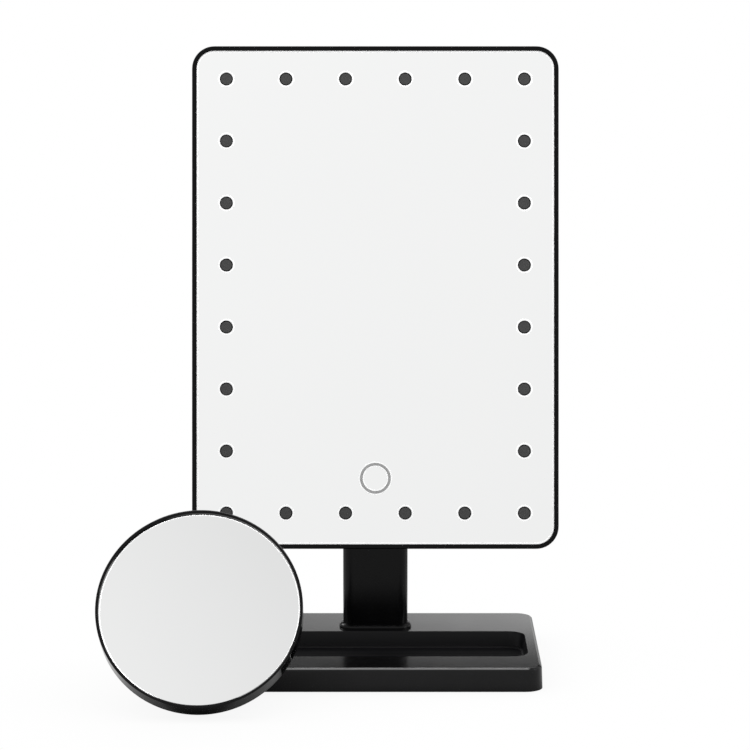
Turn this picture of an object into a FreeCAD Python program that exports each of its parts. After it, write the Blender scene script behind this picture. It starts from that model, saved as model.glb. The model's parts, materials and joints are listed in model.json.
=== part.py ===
import FreeCAD, Part
import os
from math import acos, cos, degrees, pi, radians, sin, sqrt, tan

V = FreeCAD.Vector
UP = V(0, 0, 1)
FRONT = V(0, -1, 0)
os.makedirs("parts", exist_ok=True)

# All sizes in millimetres, angles in degrees. +Z up, +X right, -Y towards the user.
# Head pieces are drawn upright, depth y growing backwards from the mirror surface and
# z up from the middle of the mirror, then tilted and lifted onto the neck.

# Rounded edges, bells and small repeated discs are made of a few flats
edge_flats = 3
ball_flats = 8
bell_flats = 3
disc_flats = 16
screw_flats = 12

# Head
head_width = 200.0
head_height = 274.2
head_corner = 12.2
border = 2.45
lip_height = 0.5
band_depth = 2.0
side_draft = 8.0
part_line = 6.0
part_groove = 0.3
crown_depth = 14.5
crown_radius = 3000.0
back_bevel = 2.6
front_round = 0.9
wall = 2.2
glass_thick = 3.0
glass_gap = 0.1
tape_thick = 0.5
tape_width = 3.3
tape_inset = 0.3
ledge = 5.0
ledge_thick = 1.6
bezel_wall = 2.2
shell_lip_gap = 0.25
shell_lip_thick = 2.0
shell_lip_reach = 0.6
shell_lip_root = 1.5

# Light windows, light strips and touch key
window_dia = 7.1
window_gap = 0.05
window_cols = 6
window_rows = 8
window_inset = 18.75
window_rise = 0.8
strip_width = 9.0
strip_thick = 1.0
strip_depth = 5.0
strip_gap = 0.5
led_size = 3.4
led_thick = 1.3
rib_thick = 1.6
rib_clear = 12.5
touch_dia = 16.9
touch_line = 1.5
touch_deep = 0.6
touch_inset = 38.5
electrode_dia = 13.0
electrode_thick = 0.2
touch_board_size = 20.0
touch_board_thick = 1.0
touch_board_gap = 1.2
touch_pin_dia = 2.0
pitch_x = (head_width - 2 * window_inset) / (window_cols - 1)
pitch_z = (head_height - 2 * window_inset) / (window_rows - 1)
touch_drop = head_height / 2 - touch_inset

# Cells, side by side across the bay, every second one upside down
cell_dia = 14.2
cell_length = 49.2
cell_pitch = 14.9
cell_count = 4
cell_lift = 0.3
nub_dia = 5.4
nub_length = 1.3
spring_length = 5.0
spring_dia = 5.6
contact_thick = 0.5
contact_inset = 1.5

# Battery bay, its cover and the hump around them on the back of the head
bay_side_room = 0.95
bay_head_room = 1.4
bay_low = -19.0
bay_floor = 7.6
floor_thick = 1.6
cover_thick = 2.2
cover_land = 3.75
cover_undercut = 1.0
cover_below = 4.5
slide_gap = 0.3
rail_width = 4.5
hump_above = 6.5
hump_below = 4.0
hump_draft = 14.0
hump_corner = 12.0
hump_root = 10.0
hump_round = 2.5
grip_count = 5
grip_pitch = 3.0
grip_dia = 1.6
grip_deep = 0.5
grip_length = 18.0
grip_rise = 4.0
bay_width = cell_count * cell_pitch + 2 * bay_side_room
bay_height = cell_length + nub_length + spring_length + 2 * contact_thick
bay_high = bay_low + bay_height
cover_half = bay_width / 2 + cover_land
cover_low = bay_low - cover_below
hump_width = 2 * (cover_half + rail_width)
hump_depth = bay_floor + cell_dia + bay_head_room + cover_thick

# Room below the bay with the switch, the socket and the control board
room_wall = 5.0
room_height = 18.3
room_corner = 4.0
room_high = cover_low - wall
room_low = room_high - room_height
room_mid = (room_high + room_low) / 2
room_half = hump_width / 2 - room_wall
board_inset = 4.0
board_height = 15.0
board_thick = 1.2
board_corner = 1.0
switch_x = -16.0
switch_width = 12.0
switch_height = 6.0
switch_length = 5.4
switch_gap = 0.4
knob_width = 4.4
knob_height = 3.2
knob_travel = 3.0
knob_proud = 0.9
knob_slot = 2.0
knob_corner = 0.4
knob_groove = 0.5
knob_groove_deep = 0.4
knob_groove_pitch = 1.2
socket_width = 7.6
socket_height = 2.9
socket_length = 5.6
socket_wall = 0.4
socket_fit = 0.2
socket_tongue = 0.7
socket_reach = 3.2
driver_size = 5.0
driver_thick = 1.4
coil_dia = 7.0
coil_thick = 3.2
coil_x = 14.0
capacitor_dia = 5.0
capacitor_thick = 5.0
capacitor_x = -12.0
hump_high = bay_high + hump_above
hump_low = room_low - hump_below
hump_height = hump_high - hump_low
hump_mid = (hump_high + hump_low) / 2
board_depth = hump_depth - cover_thick - switch_gap - switch_length - board_thick

# Neck
neck_inset = 28.4
hinge_z = 110.0
neck_width = 35.8
neck_depth = 14.0
neck_corner = 6.0
shoulder_drop = 9.0
shoulder_round = 3.0
collar_rim = 2.05
collar_fit = 0.1
collar_height = 2.4
collar_round = 1.8
spigot_width = 27.6
spigot_depth = 8.6
spigot_corner = 2.0
spigot_length = 5.7
spigot_gap = 0.2
neck_seat_wall = 6.0
neck_screw_x = 8.0
neck_screw_grip = 8.0

# Tilt hinge
hinge_back = 21.1
hinge_drop = 86.2
knuckle_half = 9.6
washer_thick = 0.65
washer_gap = 0.05
washer_dia = 12.0
ear_thick = 5.0
pin_dia = 5.0
pin_fit = 0.05
pin_head_dia = 9.0
pin_head_thick = 1.8
pin_end_gap = 0.2
nut_size = 8.0
nut_thick = 2.6
cap_dia = 10.6
cap_thick = 1.0
cap_fit = 0.05
flange_width = 9.2
bracket_low = -8.0
bracket_high = 26.0
bracket_depth = 12.6
bracket_thick = 2.5
bracket_corner = 4.0
bracket_fit = 0.15
bracket_screw_inset = 5.0
bracket_pad = 3.0
gusset_rise = 18.0
gusset_foot = 1.0
relief_depth = 9.0
relief_gap = 2.6
relief_start = 9.2
relief_corner = 6.0
rest_tilt = 9.8
knuckle_radius = neck_depth / 2
ear_in = knuckle_half + washer_gap + washer_thick
ear_out = ear_in + ear_thick
bracket_width = 2 * (ear_out + flange_width)
relief_width = neck_width + 2 * relief_gap

# Base
base_width = 176.8
base_depth = 119.0
base_corner = 9.0
base_top = 13.0
base_draft = 2.0
base_round = 1.5
skirt_gap = 0.3
base_wall = 2.0
rim_side = 6.1
rim_front = 24.2
rim_back = 41.6
tray_corner = 9.0
tray_sink = 9.1
tray_draft = 8.0
tray_round = 1.0
tray_floor = 1.4
tray_skirt = 1.0
pad_thick = 1.0
pad_inset = 13.0
pad_corner = 5.0
plate_thick = 1.2
plate_gap = 0.3
weight_gap = 3.5
weight_head_gap = 0.3
weight_corner = 3.0
boss_dia = 7.0
boss_roof = 3.0
base_screw_inset = 8.0
tray_width = base_width - 2 * rim_side
tray_depth = base_depth - rim_front - rim_back
tray_y = (rim_front - rim_back) / 2
neck_y = base_depth / 2 - neck_inset
plate_top = pad_thick + plate_thick
room_floor = plate_top + plate_gap

# Screws
screw_dia = 2.6
screw_head = 5.0
screw_head_thick = 1.8
screw_slot = 0.7
screw_slot_deep = 0.6
screw_clear = 0.2
screw_head_clear = 0.3
screw_tip_gap = 0.5
shell_screw_side = 9.5
shell_screw_end = 15.1
shell_boss_width = 8.0
shell_boss_height = 9.0
shell_boss_corner = 2.0
post_dia = 8.0
post_web = 2.0

# Loose spot mirror on its suction mount
spot_dia = 107.6
spot_thick = 15.4
spot_rim = 1.65
spot_lip = 0.5
spot_part = 10.6
spot_edge = 0.5
spot_back_edge = 3.0
spot_curve = 600.0
spot_glass_thick = 2.0
spot_glass_gap = 0.1
spot_glass_sink = 3.2
spot_ledge = 5.2
spot_ledge_gap = 0.6
spot_ledge_thick = 1.5
spot_lap = 2.2
spot_lap_gap = 0.3
spot_wall = 2.0
spot_rib_dia = 50.0
spot_rib_thick = 2.0
foam_width = 4.5
foam_thick = 2.8
foam_gap = 0.35
spot_lean = 32.5
spot_overhang = 2.8
spot_set_back = 26.5
ball_dia = 10.0
ball_gap = 0.3
ball_behind = 4.4
ball_wall = 3.2
retainer_skirt = 2.0
retainer_length = 5.4
retainer_seat = 1.2
retainer_mouth = 9.3
mouth_depth = 2.7
mouth_slope = 0.5
stem_dia = 5.0
hub_dia = 20.0
hub_thick = 4.5
hub_bevel = 1.2
cup_dia = 38.0
cup_length = 11.5
cup_neck = 1.0
cup_lip = 0.9
cup_skirt = 2.2
cup_hollow = 4.4
cup_bore = 8.0
lip_rise = -0.8
table_gap = 0.3
ball_back = spot_thick + ball_behind


def outline(width, height, radius, place):
    """Closed wire of a rounded rectangle. place(a, b) puts a flat point in space."""
    a = width / 2
    b = height / 2
    c = radius * (1 - sqrt(0.5))
    stops = []
    for k, (sa, sb) in enumerate([(1, -1), (1, 1), (-1, 1), (-1, -1)]):
        flat = place(sa * (a - radius), sb * b)
        tall = place(sa * a, sb * (b - radius))
        middle = place(sa * (a - c), sb * (b - c))
        ends = (flat, tall) if k % 2 == 0 else (tall, flat)
        stops.append((ends[0], middle, ends[1]))
    edges = []
    for k, (first, middle, last) in enumerate(stops):
        edges.append(Part.LineSegment(stops[k - 1][2], first).toShape())
        edges.append(Part.Arc(first, middle, last).toShape())
    return Part.Wire(edges)


def upright(width, height, radius, y, x=0.0, z=0.0):
    return outline(width, height, radius, lambda a, b: V(x + a, y, z + b))


def level(width, depth, radius, z, x=0.0, y=0.0):
    return outline(width, depth, radius, lambda a, b: V(x + a, y + b, z))


def plate(width, height, radius, y0, y1, x=0.0, z=0.0):
    """Rounded plate standing between two depths."""
    return Part.Face(upright(width, height, radius, y0, x, z)).extrude(V(0, y1 - y0, 0))


def slab(width, depth, radius, z0, z1, x=0.0, y=0.0):
    """Rounded slab lying between two heights."""
    return Part.Face(level(width, depth, radius, z0, x, y)).extrude(V(0, 0, z1 - z0))


def rounded_side(depth, draft, edge):
    """Rise and inset pairs up a leaning side of a moulding that ends in a rounded edge."""
    lean = radians(draft)
    centre = ((depth - edge) * sin(lean) + edge) / cos(lean)
    pairs = [(0.0, 0.0)]
    for k in range(edge_flats + 1 if edge else 1):
        a = lean + (pi / 2 - lean) * k / edge_flats
        pairs.append((depth - edge + edge * sin(a), centre - edge * cos(a)))
    return pairs


def moulded_plate(width, height, radius, y0, y1, draft, edge=0.0, x=0.0, z=0.0):
    """Standing plate whose sides lean in from y0 to y1 and end in a rounded edge."""
    way = 1 if y1 > y0 else -1
    wires = []
    for rise, inset in rounded_side(abs(y1 - y0), draft, edge):
        wires.append(upright(width - 2 * inset, height - 2 * inset, radius - inset,
                             y0 + way * rise, x, z))
    return Part.makeLoft(wires, True, True)


def moulded_slab(width, depth, radius, z0, z1, draft, edge=0.0, x=0.0, y=0.0):
    """Lying slab whose sides lean in from z0 to z1 and end in a rounded edge."""
    way = 1 if z1 > z0 else -1
    wires = []
    for rise, inset in rounded_side(abs(z1 - z0), draft, edge):
        wires.append(level(width - 2 * inset, depth - 2 * inset, radius - inset,
                           z0 + way * rise, x, y))
    return Part.makeLoft(wires, True, True)


def box(x0, x1, y0, y1, z0, z1):
    return Part.makeBox(x1 - x0, y1 - y0, z1 - z0, V(x0, y0, z0))


def rod_x(dia, x0, x1, y, z):
    return Part.makeCylinder(dia / 2, x1 - x0, V(x0, y, z), V(1, 0, 0))


def rod_y(dia, y0, y1, x, z):
    return Part.makeCylinder(dia / 2, y1 - y0, V(x, y0, z), V(0, 1, 0))


def rod_z(dia, z0, z1, x, y):
    return Part.makeCylinder(dia / 2, z1 - z0, V(x, y, z0), V(0, 0, 1))


def disc(dia, flats, y0, y1, x, z):
    """Small standing disc of a few flats whose corners lie on the circle."""
    points = []
    for k in range(flats + 1):
        a = 2 * pi * (k + 0.5) / flats
        points.append(V(x + dia / 2 * cos(a), y0, z + dia / 2 * sin(a)))
    return Part.Face(Part.makePolygon(points)).extrude(V(0, y1 - y0, 0))


def turned(points):
    """Solid of revolution about the Y axis from (radius, y) points."""
    corners = [V(r, y, 0) for r, y in points]
    face = Part.Face(Part.makePolygon(corners + [corners[0]]))
    return face.revolve(V(0, 0, 0), V(0, 1, 0), 360)


def bend(r, y, radius, start, end, flats=edge_flats):
    """Points of a round stretch of a turned profile about (r, y); 0 is outwards, 90 is back."""
    points = []
    for k in range(flats + 1):
        a = radians(start + (end - start) * k / flats)
        points.append((r + radius * cos(a), y + radius * sin(a)))
    return points


def bell(r0, y0, r1, y1):
    """Points of a flaring quarter oval that leaves (r0, y0) backwards and ends outwards."""
    points = []
    for k in range(bell_flats + 1):
        a = pi / 2 * k / bell_flats
        points.append((r0 + (r1 - r0) * (1 - cos(a)), y0 + (y1 - y0) * sin(a)))
    return points


def joined(shapes):
    solid = shapes[0]
    for shape in shapes[1:]:
        solid = solid.fuse(shape)
    return solid.removeSplitter()


def cut(solid, tools):
    for tool in tools:
        solid = solid.cut(tool)
    return solid


def edges_at_z(shape, z):
    return [e for e in shape.Edges if e.BoundBox.ZLength < 0.01 and abs(e.BoundBox.ZMin - z) < 0.01]


def mirrored(solid):
    return solid.mirror(V(0, 0, 0), V(1, 0, 0))


def screw_ring(dia, z):
    points = []
    for k in range(screw_flats + 1):
        a = 2 * pi * (k + 0.5) / screw_flats
        points.append(V(dia / 2 * cos(a), dia / 2 * sin(a), z))
    return Part.makePolygon(points)


def screw(length, head_thick, head_end):
    """Screw standing on its slotted head, which tapers to head_end before the shank."""
    head = Part.makeLoft([screw_ring(screw_head, 0), screw_ring(head_end, head_thick)], True, True)
    shank = Part.Face(screw_ring(screw_dia, 0)).extrude(V(0, 0, length))
    slot = box(-screw_head, screw_head, -screw_slot / 2, screw_slot / 2,
               -head_thick, screw_slot_deep)
    return joined([head, shank]).cut(slot)


def screw_bore(dia, place, axis, length):
    """Tool for a hole with the same flats as the screws, from a place along an axis."""
    return driven(Part.Face(screw_ring(dia, 0)).extrude(V(0, 0, length)), place, axis)


def countersink(place, axis, depth, through):
    """Tool for a clearance hole with a tapered seat for a flat screw head."""
    narrow = screw_dia + 2 * screw_clear
    hole = Part.Face(screw_ring(narrow, 0)).extrude(V(0, 0, through))
    seat = Part.makeLoft([screw_ring(screw_head + 2 * screw_clear, 0),
                          screw_ring(narrow, depth)], True, True)
    return driven(joined([hole, seat]), place, axis)


def driven(piece, place, axis):
    """Stands a piece that was drawn along +Z on a place, pointing along an axis."""
    moved = piece.copy()
    moved.Placement = FreeCAD.Placement(place, FreeCAD.Rotation(V(0, 0, 1), axis))
    return moved


def save(name, solids):
    for solid in solids:
        if not solid.isValid():
            print("bad solid in", name)
    shape = solids[0] if len(solids) == 1 else Part.makeCompound(solids)
    shape.exportStep("parts/" + name + ".step")


def on_head(shape):
    """Moves an upright head piece to the tilted head on the neck."""
    moved = shape.copy()
    moved.translate(V(0, -hinge_back, hinge_drop))
    moved.rotate(V(0, 0, 0), V(1, 0, 0), -rest_tilt)
    moved.translate(V(0, neck_y, hinge_z))
    return moved


def save_head(name, solids):
    save(name, [on_head(s) for s in solids])


# Head

def head_plate(inset, y0, y1):
    """Plate of the head's outline, its sides set in by the inset."""
    return plate(head_width - 2 * inset, head_height - 2 * inset, head_corner - inset, y0, y1)


def head_ring(outer, inner, y0, y1):
    return head_plate(outer, y0, y1).cut(head_plate(inner, y0 - wall, y1 + wall))


def lean_at_part():
    """How far the sides have leaned in where the bezel meets the rear shell."""
    return (part_line - band_depth) * tan(radians(side_draft))


def window_places():
    places = []
    for i in range(window_cols):
        for j in range(window_rows):
            if i in (0, window_cols - 1) or j in (0, window_rows - 1):
                x = (i - (window_cols - 1) / 2) * pitch_x
                z = (j - (window_rows - 1) / 2) * pitch_z + window_rise
                places.append((x, z))
    return places


def window_reach():
    """Half distances from the pattern's middle to the outer windows."""
    return (window_cols - 1) / 2 * pitch_x, (window_rows - 1) / 2 * pitch_z


def shell_screw_places():
    x = head_width / 2 - shell_screw_side
    z = head_height / 2 - shell_screw_end
    return [(-x, -z), (x, -z), (-x, z), (x, z)]


def build_bezel():
    front = moulded_plate(head_width, head_height, head_corner, band_depth, -lip_height, 0.0,
                          front_round)
    back = moulded_plate(head_width, head_height, head_corner, band_depth, part_line, side_draft)
    seat = glass_thick + tape_thick
    pocket = head_plate(border, -lip_height - wall, seat)
    opening = head_plate(border + ledge, seat - wall, part_line + wall)
    rear = head_plate(lean_at_part() + bezel_wall, seat + ledge_thick, part_line + wall)
    solid = cut(joined([front, back]), [pocket, opening, rear])
    bosses = []
    holes = []
    for x, z in shell_screw_places():
        bosses.append(plate(shell_boss_width, shell_boss_height, shell_boss_corner, seat,
                            part_line, x, z))
        holes.append(screw_bore(screw_dia, V(x, part_line + wall, z), FRONT,
                                part_line + wall - shell_screw_tip() + screw_clear))
    return cut(joined([solid] + bosses), holes)


def build_glass():
    solid = head_plate(border + glass_gap, 0, glass_thick)
    for x, z in window_places():
        solid = solid.cut(disc(window_dia + 2 * window_gap, disc_flats, -wall, glass_thick + wall,
                               x, z))
    return solid.cut(build_touch_ring())


def build_touch_ring():
    outer = rod_y(touch_dia, 0, touch_deep, 0, -touch_drop)
    inner = rod_y(touch_dia - 2 * touch_line, -wall, touch_deep + wall, 0, -touch_drop)
    return outer.cut(inner)


def build_windows():
    return [disc(window_dia, disc_flats, 0, glass_thick, x, z) for x, z in window_places()]


def build_tape():
    inset = border + glass_gap + tape_inset
    return head_ring(inset, inset + tape_width, glass_thick, glass_thick + tape_thick)


def strip(x0, x1, z0, z1):
    return box(x0, x1, strip_depth, strip_depth + strip_thick, z0, z1)


def build_strips():
    """Left, right, top and bottom light strips."""
    reach_x, reach_z = window_reach()
    half = strip_width / 2
    low = window_rise - reach_z - half
    high = window_rise + reach_z + half
    side = strip(reach_x - half, reach_x + half, low, high)
    across = reach_x - half - strip_gap
    top = strip(-across, across, high - strip_width, high)
    bottom = strip(-across, across, low, low + strip_width)
    return mirrored(side), side, top, bottom


def build_leds():
    half = led_size / 2
    leds = []
    for x, z in window_places():
        leds.append(box(x - half, x + half, strip_depth - led_thick, strip_depth,
                        z - half, z + half))
    return leds


def crowned(inset):
    """Block of the back of the head, crowned from top to bottom and set in by the inset."""
    block = moulded_plate(head_width - 2 * (lean_at_part() + inset),
                          head_height - 2 * (lean_at_part() + inset),
                          head_corner - lean_at_part() - inset,
                          part_line, crown_depth + wall, side_draft)
    crown = Part.makeCylinder(crown_radius - inset, 2 * head_width,
                              V(-head_width, crown_depth - crown_radius, 0), V(1, 0, 0))
    return block.common(crown)


def crown_edges(block):
    """Outer edge loop where the crown meets the leaning sides."""
    return [e for e in block.Edges if e.BoundBox.YMin > (part_line + crown_depth) / 2]


def hump_block():
    lean = (hump_depth - hump_root) * tan(radians(hump_draft))
    return moulded_plate(hump_width + 2 * lean, hump_height + 2 * lean, hump_corner + lean,
                         hump_root, hump_depth, hump_draft, hump_round, 0, hump_mid)


def cover_prism(gap):
    """Dovetail space of the battery cover, open at the top; gap shrinks it on every side."""
    seat = hump_depth - cover_thick + gap
    outer = hump_depth + cover_thick
    slope = cover_undercut / cover_thick
    low_half = cover_half - gap
    high_half = cover_half - gap - slope * (outer - seat)
    low = cover_low + gap
    points = [V(-low_half, seat, low), V(low_half, seat, low), V(high_half, outer, low),
              V(-high_half, outer, low)]
    face = Part.Face(Part.makePolygon(points + [points[0]]))
    return face.extrude(V(0, 0, hump_height))


def bay_box():
    return box(-bay_width / 2, bay_width / 2, bay_floor, hump_depth, bay_low, bay_high)


def kept_blocks():
    """Parts of the shell's inside that stay solid: bay walls, hinge pad, relief and posts."""
    back = hump_depth + wall
    side = bay_width / 2 + wall
    bay = box(-side, side, bay_floor - floor_thick, back, room_high, bay_high + wall)
    pad_half = bracket_width / 2 + bracket_pad
    pad_room = bracket_pad + bracket_fit
    pad = box(-pad_half, pad_half, bracket_depth - bracket_thick - wall, back,
              -hinge_drop + bracket_low - pad_room, -hinge_drop + bracket_high + pad_room)
    relief_half = relief_width / 2 + wall
    relief = box(-relief_half, relief_half, relief_depth - wall, back,
                 -head_height, -hinge_drop - relief_start + wall)
    posts = [rod_y(post_dia, part_line, back, x, z) for x, z in shell_screw_places()]
    return [bay, pad, relief] + posts


def strip_ribs():
    """Ribs inside the shell that carry the light strips."""
    reach_x, reach_z = window_reach()
    seat = strip_depth + strip_thick
    half = rib_thick / 2
    span = reach_z - rib_clear
    side = box(reach_x - half, reach_x + half, seat, crown_depth, window_rise - span,
               window_rise + span)
    across = reach_x - rib_clear
    ribs = [side, mirrored(side)]
    for z in (window_rise + reach_z, window_rise - reach_z):
        ribs.append(box(-across, across, seat, crown_depth, z - half, z + half))
    return [rib.common(crowned(wall / 2)) for rib in ribs]


def shell_lip():
    """Ring that reaches into the bezel, with its root in the shell's wall."""
    outer = lean_at_part() + bezel_wall + shell_lip_gap
    inner = outer + shell_lip_thick
    start = part_line + part_groove
    root = head_ring(lean_at_part() + wall / 2, inner, start, start + shell_lip_root)
    lip = head_ring(outer, inner, part_line - shell_lip_reach, start + shell_lip_root)
    ring = joined([root, lip])
    for x, z in shell_screw_places():
        ring = ring.cut(plate(shell_boss_width + 2 * slide_gap, shell_boss_height + 2 * slide_gap,
                              shell_boss_corner, 0, part_line + slide_gap, x, z))
    return ring


def neck_relief():
    """Slot in the back of the head that the neck's top passes through."""
    top = -hinge_drop - relief_start
    block = box(-relief_width / 2, relief_width / 2, relief_depth, hump_depth + wall,
                -head_height, top)
    corners = []
    for edge in block.Edges:
        if edge.BoundBox.YLength > wall and edge.BoundBox.ZMin > top - wall:
            corners.append(edge)
    return block.makeFillet(relief_corner, corners)


def bracket_middle():
    return -hinge_drop + (bracket_low + bracket_high) / 2


def bracket_pocket():
    """Seat of the hinge bracket's flange."""
    return plate(bracket_width + 2 * bracket_fit, bracket_high - bracket_low + 2 * bracket_fit,
                 bracket_corner + bracket_fit, bracket_depth - bracket_thick,
                 hump_depth + wall, 0, bracket_middle())


def bracket_screw_places():
    places = []
    reach = bracket_width / 2 - bracket_screw_inset
    for x in (-reach, reach):
        for z in (bracket_low + bracket_screw_inset, bracket_high - bracket_screw_inset):
            places.append((x, z - hinge_drop))
    return places


def switch_front():
    """Depth of the switch body's rear face, just inside the hump's wall."""
    return hump_depth - cover_thick - switch_gap


def socket_middle():
    return board_depth + board_thick + socket_height / 2


def room_cuts():
    """Room under the bay, the knob's slot and the socket's port."""
    room = plate(2 * room_half, room_height, room_corner, part_line - wall,
                 hump_depth - cover_thick, 0, room_mid)
    slot = plate(knob_width + knob_travel + 2 * slide_gap, knob_height + 2 * slide_gap,
                 knob_corner + slide_gap, board_depth, hump_depth + wall, switch_x, room_mid)
    deep = socket_height / 2 + socket_fit
    tall = socket_width / 2 + socket_fit
    port = box(room_half - wall, hump_width, socket_middle() - deep, socket_middle() + deep,
               room_mid - tall, room_mid + tall)
    return [room, slot, port]


def shell_screw_seat():
    """Depth of the face inside each post that a shell screw's head pulls on."""
    return part_line + post_web


def shell_screw_tip():
    return glass_thick + tape_thick + screw_tip_gap


def build_shell():
    block = crowned(0.0)
    block = block.makeChamfer(back_bevel, crown_edges(block))
    body = joined([block, hump_block()]).cut(cut(crowned(wall), kept_blocks()))
    body = joined([body] + strip_ribs())
    body = body.cut(box(-head_width, head_width, 0, part_line + part_groove,
                        -head_height, head_height))
    body = joined([body, shell_lip()])
    body = cut(body, [bay_box(), cover_prism(0.0), neck_relief(), bracket_pocket()] + room_cuts())
    back = hump_depth + wall
    for x, z in shell_screw_places():
        body = body.cut(screw_bore(screw_dia + 2 * screw_clear, V(x, back, z), FRONT, back))
        body = body.cut(screw_bore(screw_head + 2 * screw_head_clear, V(x, back, z), FRONT,
                                   back - shell_screw_seat()))
    for x, z in bracket_screw_places():
        body = body.cut(screw_bore(screw_dia, V(x, back, z), FRONT, back))
    return body


def build_shell_screws():
    top = shell_screw_seat() + screw_head_thick
    piece = screw(top - shell_screw_tip(), screw_head_thick, screw_head)
    return [driven(piece, V(x, top, z), FRONT) for x, z in shell_screw_places()]


def build_battery_cover():
    cover = hump_block().common(cover_prism(slide_gap))
    half = grip_length / 2
    for k in range(grip_count):
        z = bay_low + grip_rise + k * grip_pitch
        cover = cover.cut(rod_x(grip_dia, -half, half, hump_depth + grip_dia / 2 - grip_deep, z))
    return cover


def cell_x(k):
    return (k - (cell_count - 1) / 2) * cell_pitch


def cell_axis():
    return bay_floor + cell_lift + cell_dia / 2


def cell_low(k):
    """Lower end of a cell's can; even cells have their nub on the upper contact."""
    if k % 2:
        return bay_low + contact_thick + nub_length
    return bay_high - contact_thick - nub_length - cell_length


def build_cells():
    cells = []
    for k in range(cell_count):
        low = cell_low(k)
        can = rod_z(cell_dia, low, low + cell_length, cell_x(k), cell_axis())
        foot = low - nub_length if k % 2 else low + cell_length
        nub = rod_z(nub_dia, foot, foot + nub_length, cell_x(k), cell_axis())
        cells.append(joined([can, nub]))
    return cells


def build_contacts():
    """Contact plates on the end walls of the bay that chain the cells one after another."""
    half = cell_dia / 2 - contact_inset
    low_pairs = [(k, k + 1) for k in range(0, cell_count, 2)]
    high_pairs = [(0, 0)] + [(k, k + 1) for k in range(1, cell_count - 1, 2)]
    high_pairs.append((cell_count - 1, cell_count - 1))
    plates = []
    for pairs, z in ((low_pairs, bay_low), (high_pairs, bay_high - contact_thick)):
        for first, last in pairs:
            plates.append(box(cell_x(first) - half, cell_x(last) + half, cell_axis() - half,
                              cell_axis() + half, z, z + contact_thick))
    return plates


def build_springs():
    """Solid envelopes of the coil springs between each can and its contact."""
    springs = []
    for k in range(cell_count):
        start = cell_low(k) + cell_length if k % 2 else bay_low + contact_thick
        springs.append(rod_z(spring_dia, start, start + spring_length, cell_x(k), cell_axis()))
    return springs


def build_board():
    return plate(2 * (room_half - board_inset), board_height, board_corner, board_depth,
                 board_depth + board_thick, 0, room_mid)


def build_board_chips():
    half = driver_size / 2
    driver = box(-half, half, board_depth - driver_thick, board_depth, room_mid - half,
                 room_mid + half)
    coil = rod_y(coil_dia, board_depth - coil_thick, board_depth, coil_x, room_mid)
    capacitor = rod_y(capacitor_dia, board_depth - capacitor_thick, board_depth, capacitor_x,
                      room_mid)
    return [driver, coil, capacitor]


def build_switch_body():
    y1 = switch_front()
    half = switch_width / 2
    tall = switch_height / 2
    body = box(switch_x - half, switch_x + half, y1 - switch_length, y1, room_mid - tall,
               room_mid + tall)
    reach = (knob_width + knob_travel) / 2 + slide_gap
    rise = knob_height / 2 + slide_gap
    return body.cut(box(switch_x - reach, switch_x + reach, y1 - knob_slot, y1 + wall,
                        room_mid - rise, room_mid + rise))


def build_switch_knob():
    y1 = hump_depth + knob_proud
    x = switch_x - knob_travel / 2
    half = knob_groove / 2
    knob = plate(knob_width, knob_height, knob_corner, switch_front() - knob_slot + slide_gap, y1,
                 x, room_mid)
    for k in (-1, 0, 1):
        groove_x = x + k * knob_groove_pitch
        knob = knob.cut(box(groove_x - half, groove_x + half, y1 - knob_groove_deep, y1 + wall,
                            room_mid - knob_height, room_mid + knob_height))
    return knob


def socket_block(x0, x1, inset):
    deep = socket_height / 2 - inset
    tall = socket_width / 2 - inset
    return box(x0, x1, socket_middle() - deep, socket_middle() + deep, room_mid - tall,
               room_mid + tall)


def build_socket():
    x1 = room_half + socket_reach
    x0 = x1 - socket_length
    shell = socket_block(x0, x1, 0.0).cut(socket_block(x0 + 2 * socket_wall, x1 + wall,
                                                       socket_wall))
    half = socket_tongue / 2
    tall = socket_width / 2 - 3 * socket_wall
    tongue = box(x0 + socket_wall, x1 - socket_tongue, socket_middle() - half,
                 socket_middle() + half, room_mid - tall, room_mid + tall)
    return joined([shell, tongue])


def build_electrode():
    return rod_y(electrode_dia, glass_thick, glass_thick + electrode_thick, 0, -touch_drop)


def build_touch_board():
    back = glass_thick + electrode_thick
    near = back + touch_board_gap
    board = plate(touch_board_size, touch_board_size, board_corner, near,
                  near + touch_board_thick, 0, -touch_drop)
    return joined([board, rod_y(touch_pin_dia, back, near, 0, -touch_drop)])


# Tilt hinge, drawn with the head

def hinge_rod(dia, x0, x1):
    return rod_x(dia, x0, x1, hinge_back, -hinge_drop)


def ear(x0, x1):
    """Hinge ear: a round eye on an arm, with a gusset up the flange."""
    root = bracket_depth - bracket_thick / 2
    arm = box(x0, x1, root, hinge_back, -hinge_drop - knuckle_radius, -hinge_drop + knuckle_radius)
    top = -hinge_drop + gusset_rise
    web = [V(x0, root, -hinge_drop), V(x0, root, top), V(x0, bracket_depth + gusset_foot, top),
           V(x0, hinge_back, -hinge_drop + knuckle_radius), V(x0, hinge_back, -hinge_drop)]
    gusset = Part.Face(Part.makePolygon(web + [web[0]])).extrude(V(x1 - x0, 0, 0))
    return joined([hinge_rod(2 * knuckle_radius, x0, x1), arm, gusset])


def build_bracket():
    flange = plate(bracket_width, bracket_high - bracket_low, bracket_corner,
                   bracket_depth - bracket_thick, bracket_depth, 0, bracket_middle())
    solid = joined([flange, ear(ear_in, ear_out), ear(-ear_out, -ear_in)])
    past = ear_out + ear_thick
    bore = hinge_rod(pin_dia, -past, past)
    head_seat = hinge_rod(cap_dia, ear_out - cap_thick - pin_head_thick, past)
    nut_seat = hinge_rod(cap_dia, -past, -ear_out + cap_thick + nut_thick)
    solid = cut(solid, [bore, head_seat, nut_seat])
    for x, z in bracket_screw_places():
        solid = solid.cut(countersink(V(x, bracket_depth, z), FRONT, screw_head_thick,
                                      bracket_thick))
    return solid


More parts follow.
